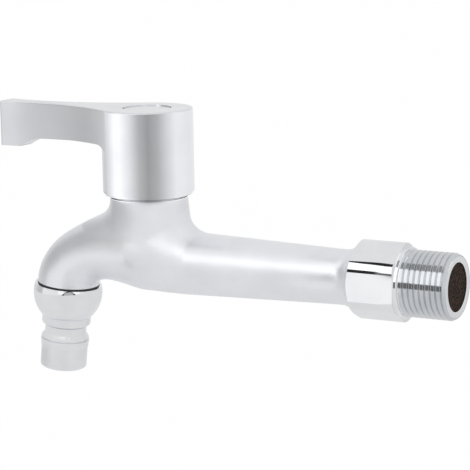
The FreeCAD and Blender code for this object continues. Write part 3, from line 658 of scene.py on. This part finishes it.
@dataclass
class Outlet:
    """The buffed ball nut, the rubber ring above it and the turned hose nozzle.

    Sizes are in millimetres. Heights run down the outlet from the spout's shoulder. Steps and profile list
    radius and height, and the profile its roundings too.
    """

    facets: int = 160
    ring_facets: int = 128
    spout_reach: float = 32.73
    spout_drop: float = 10.26
    spout_tilt: float = 6.4
    ring_section_facets: int = 24
    ring_section_radius: float = 0.72
    ring_radius: float = 9.75
    ring_height: float = 0.74
    ball_rings: int = 120
    ball_radius: float = 11.65
    ball_centre: float = 3.4
    ball_top: float = 0.5
    ball_bottom: float = 11.45
    ball_steps: tuple[tuple[float, float], ...] = (
        (10.5, 0.5), (10.5, 1.8), (9.05, 1.8), (9.05, 7.12), (7.25, 7.12))
    ball_mouth: float = 7.25
    nozzle_profile: tuple[tuple[float, ...], ...] = (
        (5.5, 7.2), (7.2, 7.2), (7.2, 11.47), (8.25, 11.47, 0.35), (8.25, 14.57, 0.8), (6.2, 14.57, 0.1),
        (6.2, 14.97, 0.1), (7.0, 14.97, 0.1), (7.0, 17.5, 0.4), (7.95, 18.65, 0.5), (8.1, 19.2, 0.1),
        (7.6, 19.27, 0.05), (7.6, 19.62, 0.05), (8.15, 19.7, 0.12), (8.3, 20.07, 0.3), (8.1, 20.73, 0.5),
        (8.0, 22.27, 0.2), (7.85, 22.29, 0.06), (7.85, 29.67, 1.0), (6.1, 29.67, 0.2), (5.5, 29.07, 0.2))

    def axis(self) -> Matrix:
        """Carries +Z down the outlet from the spout's shoulder."""
        return (Matrix.Translation((0, -(VALVE_REACH + self.spout_reach) * MM, -self.spout_drop * MM))
                @ Matrix.Rotation(math.radians(180 - self.spout_tilt), 4, "X"))

    def build(self) -> None:
        """Makes the three visible pieces of the outlet."""
        self.ring()
        self.ball()
        self.nozzle()

    def ring(self) -> None:
        """Turns the rubber ring in the gap above the ball."""
        ring = bmesh.new()
        made = bmesh.ops.create_circle(ring, cap_ends=False, segments=self.ring_section_facets,
                                       radius=self.ring_section_radius * MM)
        bmesh.ops.rotate(ring, verts=made["verts"], cent=(0, 0, 0), matrix=Matrix.Rotation(math.pi / 2, 3, "X"))
        bmesh.ops.translate(ring, verts=made["verts"], vec=(self.ring_radius * MM, 0, self.ring_height * MM))
        bmesh.ops.spin(ring, geom=ring.verts[:] + ring.edges[:], cent=(0, 0, 0), axis=(0, 0, 1), angle=math.tau,
                       steps=self.ring_facets, use_merge=True)
        bmesh.ops.remove_doubles(ring, verts=ring.verts, dist=FINE_WELD)
        bmesh.ops.recalc_face_normals(ring, faces=ring.faces)
        bmesh.ops.transform(ring, matrix=self.axis(), verts=ring.verts)
        piece(ring, "outlet_ring_rubber", Body.TAP, (BLACK_RUBBER,), ("outlet_o_ring",))

    def ball(self) -> None:
        """Cuts a sphere at both ends and bores it for the ring, the spout and the nozzle."""
        ball = bmesh.new()
        bmesh.ops.create_uvsphere(ball, u_segments=self.facets, v_segments=self.ball_rings,
                                  radius=self.ball_radius * MM)
        bmesh.ops.translate(ball, verts=ball.verts, vec=(0, 0, self.ball_centre * MM))
        for height, way in ((self.ball_top, -1.0), (self.ball_bottom, 1.0)):
            cut_off(ball, (0, 0, height * MM), (0, 0, way))
        self.step_in(ball, self.ball_top, self.ball_steps)
        self.step_in(ball, self.ball_bottom, ((self.ball_mouth, self.ball_bottom),))
        bmesh.ops.bridge_loops(ball, edges=[edge for edge in ball.edges if edge.is_boundary])
        bmesh.ops.recalc_face_normals(ball, faces=ball.faces)
        bmesh.ops.transform(ball, matrix=self.axis(), verts=ball.verts)
        piece(ball, "outlet_ball", Body.TAP, (BRIGHT_CHROME,), ("ball_nut",))

    def step_in(self, mesh: bmesh.types.BMesh, height: float, stops: Iterable[tuple[float, float]]) -> None:
        """Draws the open rim at a height through the steps of a bore.

        Args:
            mesh: the piece, about Z.
            height: where the open rim lies, in millimetres.
            stops: the radius and height of each step.
        """
        rim = [edge for edge in mesh.edges if edge.is_boundary
               and all(abs(vert.co.z - height * MM) < WELD for vert in edge.verts)]
        for radius, level in stops:
            grown = bmesh.ops.extrude_edge_only(mesh, edges=rim)["geom"]
            rim = [part for part in grown if isinstance(part, bmesh.types.BMEdge)]
            for vert in {vert for edge in rim for vert in edge.verts}:
                vert.co.xy *= radius * MM / vert.co.to_2d().length
                vert.co.z = level * MM

    def nozzle(self) -> None:
        """Turns the collar, the snap groove, the bead and the plain barrel."""
        nozzle = turned([Corner(*row) for row in self.nozzle_profile], self.facets, self.axis())
        piece(nozzle, "nozzle_turned", Body.TAP, (TURNED_CHROME,), ("hose_nozzle",))


def dress_inner_pieces() -> None:
    """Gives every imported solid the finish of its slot."""
    slots = {part["node"]: part["material_slot"] for part in frame["record"]["subparts"]}
    for name, node in frame["nodes"].items():
        node.data.materials.clear()
        node.data.materials.append(SLOT_FINISHES[slots[name]].material())
        log.info("dressed %s", name)


@dataclass
class Studio:
    """A pale light tent: floor, round wall, softbox, close cards and the camera of the photograph.

    Sizes are in metres, but the corners of cards are in millimetres. Bearings are degrees from +X.
    """

    middle: tuple[float, float] = (0.0, -0.07)
    floor_level: float = -0.55
    floor_radius: float = 14.0
    disc_facets: int = 96
    white_share: float = 0.97
    tent_radius: float = 0.9
    tent_top: float = 0.6
    sheet_gap: float = 0.001
    sheet_step: float = 4.0
    roof_level: float = 0.82
    underlay_level: float = 0.78
    blend_top: float = -0.18
    lift_bottom: float = -0.28
    dark_level: float = 0.02
    valve: tuple[float, float] = (0.0, -VALVE_REACH * MM)
    outlet: tuple[float, float] = (0.0, -0.126)
    azimuth: float = 118.875
    elevation: float = 10.439
    roll: float = -0.988
    lens: float = 156.0
    sensor_width: float = 36.0
    eye: tuple[float, float, float] = (0.56574, 0.24948, 0.12958)

    def build(self) -> None:
        """Builds the whole studio."""
        self.floor()
        self.sky()
        self.tent()
        self.cards()
        self.camera()

    @staticmethod
    def set_up(mesh: bmesh.types.BMesh, name: str, material: bpy.types.Material) -> bpy.types.Object:
        """Puts a studio piece in the scene.

        Args:
            mesh: its shape, in metres, in its place.
            name: its name.
            material: its material.

        Returns:
            The piece.
        """
        shown = add_object(mesh, name, (material,))
        return shown

    def hang(self, mesh: bmesh.types.BMesh, name: str, material: bpy.types.Material) -> None:
        """Puts a sheet in the scene that only reflections see.

        Args:
            mesh: its shape, in metres, in its place.
            name: its name.
            material: its material.
        """
        shown = self.set_up(mesh, name, material)
        shown.visible_camera = False
        shown.visible_diffuse = False
        shown.visible_shadow = False

    def floor(self) -> None:
        """Lays the pale floor, white to the camera and to reflections, with the object's soft shadow."""
        mesh = bmesh.new()
        bmesh.ops.create_circle(mesh, cap_ends=True, segments=self.disc_facets, radius=self.floor_radius)
        bmesh.ops.translate(mesh, verts=mesh.verts, vec=(*self.middle, self.floor_level))
        material = new_material("pale_floor")
        tree = material.node_tree
        rays = add_node(tree, "LightPath")
        seen = rays.outputs["Is Camera Ray"]
        for kind in ("Is Glossy Ray", "Is Transmission Ray"):
            seen = add_node(tree, "Math", {"operation": "MAXIMUM"},
                            {0: seen, 1: rays.outputs[kind]}).outputs[0]
        matt = add_node(tree, "BsdfDiffuse", {"Color": linear("F4F4F4")})
        white = add_node(tree, "Emission", {"Color": WHITE, "Strength": 1.0})
        share = add_node(tree, "Math", {"operation": "MULTIPLY", 1: self.white_share}, {0: seen})
        mixed = add_node(tree, "MixShader", {}, {0: share.outputs[0], 1: matt.outputs[0], 2: white.outputs[0]})
        add_node(tree, "OutputMaterial", {}, {"Surface": mixed.outputs[0]})
        self.set_up(mesh, "floor", material)

    def sky(self) -> None:
        """Sets the world to one plain soft white."""
        world = bpy.data.worlds.new("sky")
        bpy.context.scene.world = world
        world.use_nodes = True
        tree = world.node_tree
        tree.nodes.clear()
        white = add_node(tree, "Background", {"Color": WHITE, "Strength": 1.0})
        add_node(tree, "OutputWorld", {}, {"Surface": white.outputs[0]})

    def glow(self, name: str, level: float, front_only: bool = False) -> bpy.types.Material:
        """Makes an evenly glowing material.

        Args:
            name: its name.
            level: how bright it is, 1 being white.
            front_only: whether it is clear from behind.

        Returns:
            The material.
        """
        material = new_material(name)
        light = add_node(material.node_tree, "Emission", {"Color": WHITE, "Strength": level})
        self.finish_glow(material.node_tree, light, front_only)
        return material

    @staticmethod
    def finish_glow(tree: bpy.types.NodeTree, light: bpy.types.Node, front_only: bool) -> None:
        """Leads an emission to a material's output.

        Args:
            tree: the material's nodes.
            light: the emission.
            front_only: whether the sheet is clear from behind.
        """
        if front_only:
            clear = add_node(tree, "BsdfTransparent")
            behind = add_node(tree, "NewGeometry").outputs["Backfacing"]
            light = add_node(tree, "MixShader", {}, {0: behind, 1: light.outputs[0], 2: clear.outputs[0]})
        add_node(tree, "OutputMaterial", {}, {"Surface": light.outputs[0]})

    def ring_glow(self, name: str, centre: tuple[float, float], stops: Sequence[tuple[float, float]],
                  lift: float = 1.0, front_only: bool = False) -> bpy.types.Material:
        """Makes a glowing material whose level follows the bearing about an upright axis.

        Far below the tap it runs over into the underlay's level.

        Args:
            name: its name.
            centre: where the axis stands, in metres.
            stops: bearings in degrees from +X, in order from -180 to 180, with the level at each.
            lift: how many times brighter it is from the inlet's height up than far below.
            front_only: whether it is clear from behind.

        Returns:
            The material.
        """
        material = new_material(name)
        tree = material.node_tree
        place = add_node(tree, "TexCoord").outputs["Object"]
        away = add_node(tree, "VectorMath", {"operation": "SUBTRACT", 1: (*centre, 0.0)}, {0: place})
        parts = add_node(tree, "SeparateXYZ", {}, {0: away.outputs["Vector"]})
        bearing = add_node(tree, "Math", {"operation": "ARCTAN2"},
                           {0: parts.outputs["Y"], 1: parts.outputs["X"]})
        share = add_node(tree, "MapRange", {"From Min": -math.pi, "From Max": math.pi},
                         {"Value": bearing.outputs[0]})
        levels = add_node(tree, "ValToRGB", {}, {"Fac": share.outputs["Result"]})
        set_ramp(levels, [((angle + 180) / 360, (level, level, level, 1.0)) for angle, level in stops])
        strength = add_node(tree, "MapRange",
                            {"From Min": self.lift_bottom, "From Max": 0.0, "To Min": 1.0, "To Max": lift},
                            {"Value": parts.outputs["Z"]})
        rise = add_node(tree, "MapRange",
                        {"From Min": self.floor_level, "From Max": self.blend_top,
                         "interpolation_type": "SMOOTHSTEP"},
                        {"Value": parts.outputs["Z"]})
        shade = add_node(tree, "Mix", {"data_type": "RGBA", 6: (*[self.underlay_level] * 3, 1.0)},
                         {0: rise.outputs["Result"], 7: levels.outputs["Color"]})
        light = add_node(tree, "Emission", {},
                         {"Color": shade.outputs[2], "Strength": strength.outputs["Result"]})
        self.finish_glow(tree, light, front_only)
        return material

    def sweep(self, centre: tuple[float, float], radius: float, reach: tuple[float, float],
              bottom: float, top: float) -> bmesh.types.BMesh:
        """Bends an upright sheet about an axis, with its front to the axis.

        Args:
            centre: where the axis stands, in metres.
            radius: how far the sheet stands from it, in metres.
            reach: its first and last bearing, in degrees from +X.
            bottom: its lower edge, in metres.
            top: its upper edge, in metres.

        Returns:
            The sheet.
        """
        mesh = bmesh.new()
        steps = max(1, round((reach[1] - reach[0]) / self.sheet_step))
        ends = [mesh.verts.new((radius, 0, bottom)), mesh.verts.new((radius, 0, top))]
        line = mesh.edges.new(ends)
        start = Matrix.Rotation(math.radians(reach[0]), 3, "Z")
        bmesh.ops.rotate(mesh, verts=ends, cent=(0, 0, 0), matrix=start)
        bmesh.ops.spin(mesh, geom=[*ends, line], cent=(0, 0, 0), axis=(0, 0, 1),
                       angle=math.radians(reach[1] - reach[0]), steps=steps, use_merge=False)
        mesh.normal_update()
        mesh.faces.ensure_lookup_table()
        if mesh.faces[0].normal.to_2d().dot(mesh.faces[0].calc_center_median().to_2d()) > 0:
            bmesh.ops.reverse_faces(mesh, faces=mesh.faces)
        bmesh.ops.translate(mesh, verts=mesh.verts, vec=(*centre, 0))
        return mesh

    def tent(self) -> None:
        """Pitches a tent that only reflections see: wall, lamps, a dark side, a backdrop, roof and underlay."""
        wall = self.sweep(self.middle, self.tent_radius, (-180, 180), self.floor_level + 2 * self.sheet_gap,
                          self.tent_top)
        self.hang(wall, "tent_wall", self.ring_glow("tent_wall", self.middle, (
            (-180, 0.74), (-150, 0.78), (-100, 0.66), (-70, 0.65), (-28, 0.78), (5, 0.76), (32, 0.70),
            (63, 0.82), (100, 0.72), (145, 0.68), (180, 0.74)), 1.08))
        for name, radius, reach, bottom, top, level in (
                ("softbox", 0.34, (-34, -20), 0.085, 0.30, 1.65),
                ("softbox_high", 0.34, (-20, 30), 0.19, 0.52, 1.25),
                ("dark_side", 0.36, (-96, -43), 0.035, 0.26, 0.46),
                ("left_lamp", 0.36, (-78, -50), 0.30, 0.42, 1.4),
                ("right_lamp", 0.36, (84, 122), 0.17, 0.32, 1.3)):
            self.hang(self.sweep(self.middle, radius, reach, bottom, top), name, self.glow(name, level))
        backdrop = self.sweep(self.middle, 0.36, (-100, -43), -0.05, 0.035)
        self.hang(backdrop, "lever_backdrop", self.ring_glow("lever_backdrop", self.middle, (
            (-100, 0.72), (-86, 0.57), (-76, 0.54), (-62, 0.64), (-43, 0.74))))
        for name, height, level in (("tent_roof", self.tent_top, self.roof_level),
                                    ("tent_underlay", self.floor_level + self.sheet_gap, self.underlay_level)):
            disc = bmesh.new()
            bmesh.ops.create_circle(disc, cap_ends=True, segments=self.disc_facets, radius=self.tent_radius)
            bmesh.ops.translate(disc, verts=disc.verts, vec=(*self.middle, height))
            self.hang(disc, name, self.glow(name, level))

    def card(self, name: str, corners: Sequence[Sequence[float]], level: float,
             toward: Optional[Sequence[float]] = None) -> None:
        """Hangs a flat glowing card that only reflections see.

        Args:
            name: the card's name.
            corners: its corners in order, in millimetres.
            level: how bright it is, 1 being white.
            toward: the point that its front faces, in millimetres; with one, it is clear from behind.
        """
        mesh = bmesh.new()
        face = mesh.faces.new([mesh.verts.new(Vector(corner) * MM) for corner in corners])
        mesh.normal_update()
        if toward is not None and face.normal.dot(Vector(toward) * MM - face.calc_center_median()) < 0:
            bmesh.ops.reverse_faces(mesh, faces=[face])
        self.hang(mesh, name, self.glow(name, level, toward is not None))

    def cards(self) -> None:
        """Hangs the close cards by the wall end, then those of the ball nut, the hub and the neck."""
        side, above = 64, 60
        self.card("card_low", ((side, -46, -6), (side, -31, -6), (side, -31, 23), (side, -46, 23)),
                  self.dark_level)
        self.card("card_low_thread", ((side, -30.9, -7.4), (side, -4, -7.4), (side, -4, 12),
                                      (side, -30.9, 13.5)), 0.17)
        self.card("card_white", ((side, -48, 23.5), (side, -31, 23.5), (side, -30, 14), (side, -4, 12.5),
                                 (44, -4, 59), (43, -25, 59), (39, -31, 59), (24, -48, 59)), 1.3)
        self.card("card_high", ((20, -46, above), (23, -46, above), (38, -31, above), (36, -25, above),
                                (12, -25, above), (4, -31, above)), self.dark_level)
        self.card("card_grey", ((14, -24.5, above), (42, -24.5, above), (42, -6, above), (14, -6, above)), 0.34)
        self.card("card_pale", ((side, -46, -6.2), (side, -31, -6.2), (side, -24, -9.2), (side, -24, -20),
                                (side, -38, -52), (side, -62, -52), (side, -50, -18)), 0.98)
        self.eye_card()
        self.hub_screens()
        self.neck_screens()

    def hub_screens(self) -> None:
        """Bends a shaded screen round the hub, with a ring under its foot."""
        radius, inner_radius, reach = 0.0166, 0.0126, (-44, 145)
        bottom, fold, top = 0.0210, 0.0212, 0.0512
        shade = self.ring_glow("hub_screen", self.valve, (
            (-50, 0.75), (-36, 0.86), (-20, 1.20), (-10, 1.18), (5, 0.88), (19, 0.51), (31, 0.37),
            (44, 0.49), (58, 0.76), (72, 0.97), (105, 0.92)), front_only=True)
        self.hang(self.sweep(self.valve, radius, reach, fold, top), "hub_screen", shade)
        ring = self.sweep(self.valve, radius, reach, bottom, fold)
        inner = [edge for edge in ring.edges if all(vert.co.z < (bottom + fold) / 2 for vert in edge.verts)]
        grown = bmesh.ops.extrude_edge_only(ring, edges=inner)["geom"]
        for vert in {part for part in grown if isinstance(part, bmesh.types.BMVert)}:
            away = vert.co - Vector((*self.valve, 0.0))
            vert.co.xy -= away.xy * (1 - inner_radius / away.to_2d().length)
        ring.normal_update()
        bmesh.ops.reverse_faces(ring, faces=[face for face in ring.faces if face.normal.z < -0.5])
        self.hang(ring, "hub_foot_screen", shade)

    def neck_screens(self) -> None:
        """Bends shaded screens round neck and nozzle, and fences the neck off from the wall end's cards."""
        shade = self.ring_glow("neck_screen", self.valve, (
            (-94, 0.82), (-82, 0.62), (-70, 0.48), (-40, 0.55), (-20, 0.59), (0, 0.75), (20, 0.79),
        ), front_only=True)
        self.hang(self.sweep(self.valve, 0.024, (-94, 20), 0.0105, 0.0212), "neck_screen", shade)
        self.hang(self.sweep(self.outlet, 0.017, (-110, 128), -0.034, -0.013), "nozzle_screen",
                  self.glow("nozzle_screen", 0.77, front_only=True))
        neck = (0, -90, 10)
        for name, along, left, right, bottom, top, level in (
                ("fence_low", -50, 8, 70, 2, 23, 0.80), ("fence_side", -50, 8, 30, 23, 62, 0.82),
                ("fence_strip", -50, 30, 75, 23, 52, 0.98), ("fence_top", -50, 30, 70, 52, 62, 0.85),
                ("fence_high", -66, 20, 44, 45, 80, 1.05), ("fence_far", -57, -26, 7.9, 17, 48, 0.80)):
            corners = ((left, along, bottom), (right, along, bottom), (right, along, top), (left, along, top))
            self.card(name, corners, level, toward=neck)

    def eye_card(self) -> None:
        """Hangs the grey lens-shaped card with dark rim and tips that the ball nut mirrors under its ring."""
        brow = Vector((9.6, -121.0, -12.7))
        middle, middle_rise, corners = 35, -1, 24
        patch_width, patch_top, first_patch, last_bright = 12, 20, 20, 40

        def spot(bearing: float, rise: float, reach: float) -> tuple[float, float, float]:
            """The point that lies in a direction from the ball's brow, in degrees and millimetres."""
            turn, climb = math.radians(bearing), math.radians(rise)
            way = Vector((math.cos(turn) * math.cos(climb), math.sin(turn) * math.cos(climb), math.sin(climb)))
            return tuple(brow + way * reach)

        def oval(wide: float, high: float, reach: float) -> list[tuple[float, float, float]]:
            """The corners of a lens shape before the ball's brow."""
            turns = [math.tau * step / corners for step in range(corners)]
            return [spot(middle + wide * math.cos(turn), middle_rise + high * math.sin(turn), reach)
                    for turn in turns]

        self.card("card_eye", oval(19, 12, 25.0), 0.48, toward=brow)
        self.card("card_eye_rim", oval(21, 14, 25.4), self.dark_level, toward=brow)
        for name, side, end in (("card_eye_left", -1, 93), ("card_eye_right", 1, 44)):
            self.card(name, [spot(middle + side * across, up, 25.2) for across, up in
                             ((18, 5), (27, 1), (29, -5), (24, -7), (20, -3))], self.dark_level, toward=brow)
            for first in range(first_patch, end, patch_width):
                low, level = (1, 1.08) if first < last_bright else (-20, 0.86)
                last = first + patch_width
                patch = ((first, patch_top), (last, patch_top), (last, low), (first, low))
                self.card(f"{name}_white_{first}",
                          [spot(middle + side * across, up, 25.8) for across, up in patch], level, toward=brow)

    def camera(self) -> None:
        """Sets the camera that was fitted to the photograph."""
        turn, rise, roll = (math.radians(angle) for angle in (self.azimuth, self.elevation, self.roll))
        back = Vector((math.sin(turn) * math.cos(rise), -math.cos(turn) * math.cos(rise), math.sin(rise)))
        level = Vector((math.cos(turn), math.sin(turn), 0.0))
        above = back.cross(level)
        across = math.cos(roll) * level + math.sin(roll) * above
        upward = math.cos(roll) * above - math.sin(roll) * level
        data = bpy.data.cameras.new("camera")
        data.lens = self.lens
        data.sensor_width = self.sensor_width
        data.clip_start = 0.01
        data.dof.use_dof = False
        camera = bpy.data.objects.new("camera", data)
        bpy.context.scene.collection.objects.link(camera)
        rows = [(across[row], upward[row], back[row], self.eye[row]) for row in range(3)]
        camera.matrix_world = Matrix((*rows, (0, 0, 0, 1)))
        bpy.context.scene.camera = camera


def main() -> None:
    """Builds the tap's pieces in order, then the studio."""
    logging.basicConfig(level=logging.INFO, format="%(message)s")
    dress_inner_pieces()
    dress_casting()
    Inlet().build()
    Outlet().build()
    Handle().build()
    Studio().build()
    bpy.context.scene.view_settings.view_transform = "Standard"


if __name__ == "__main__":
    main()
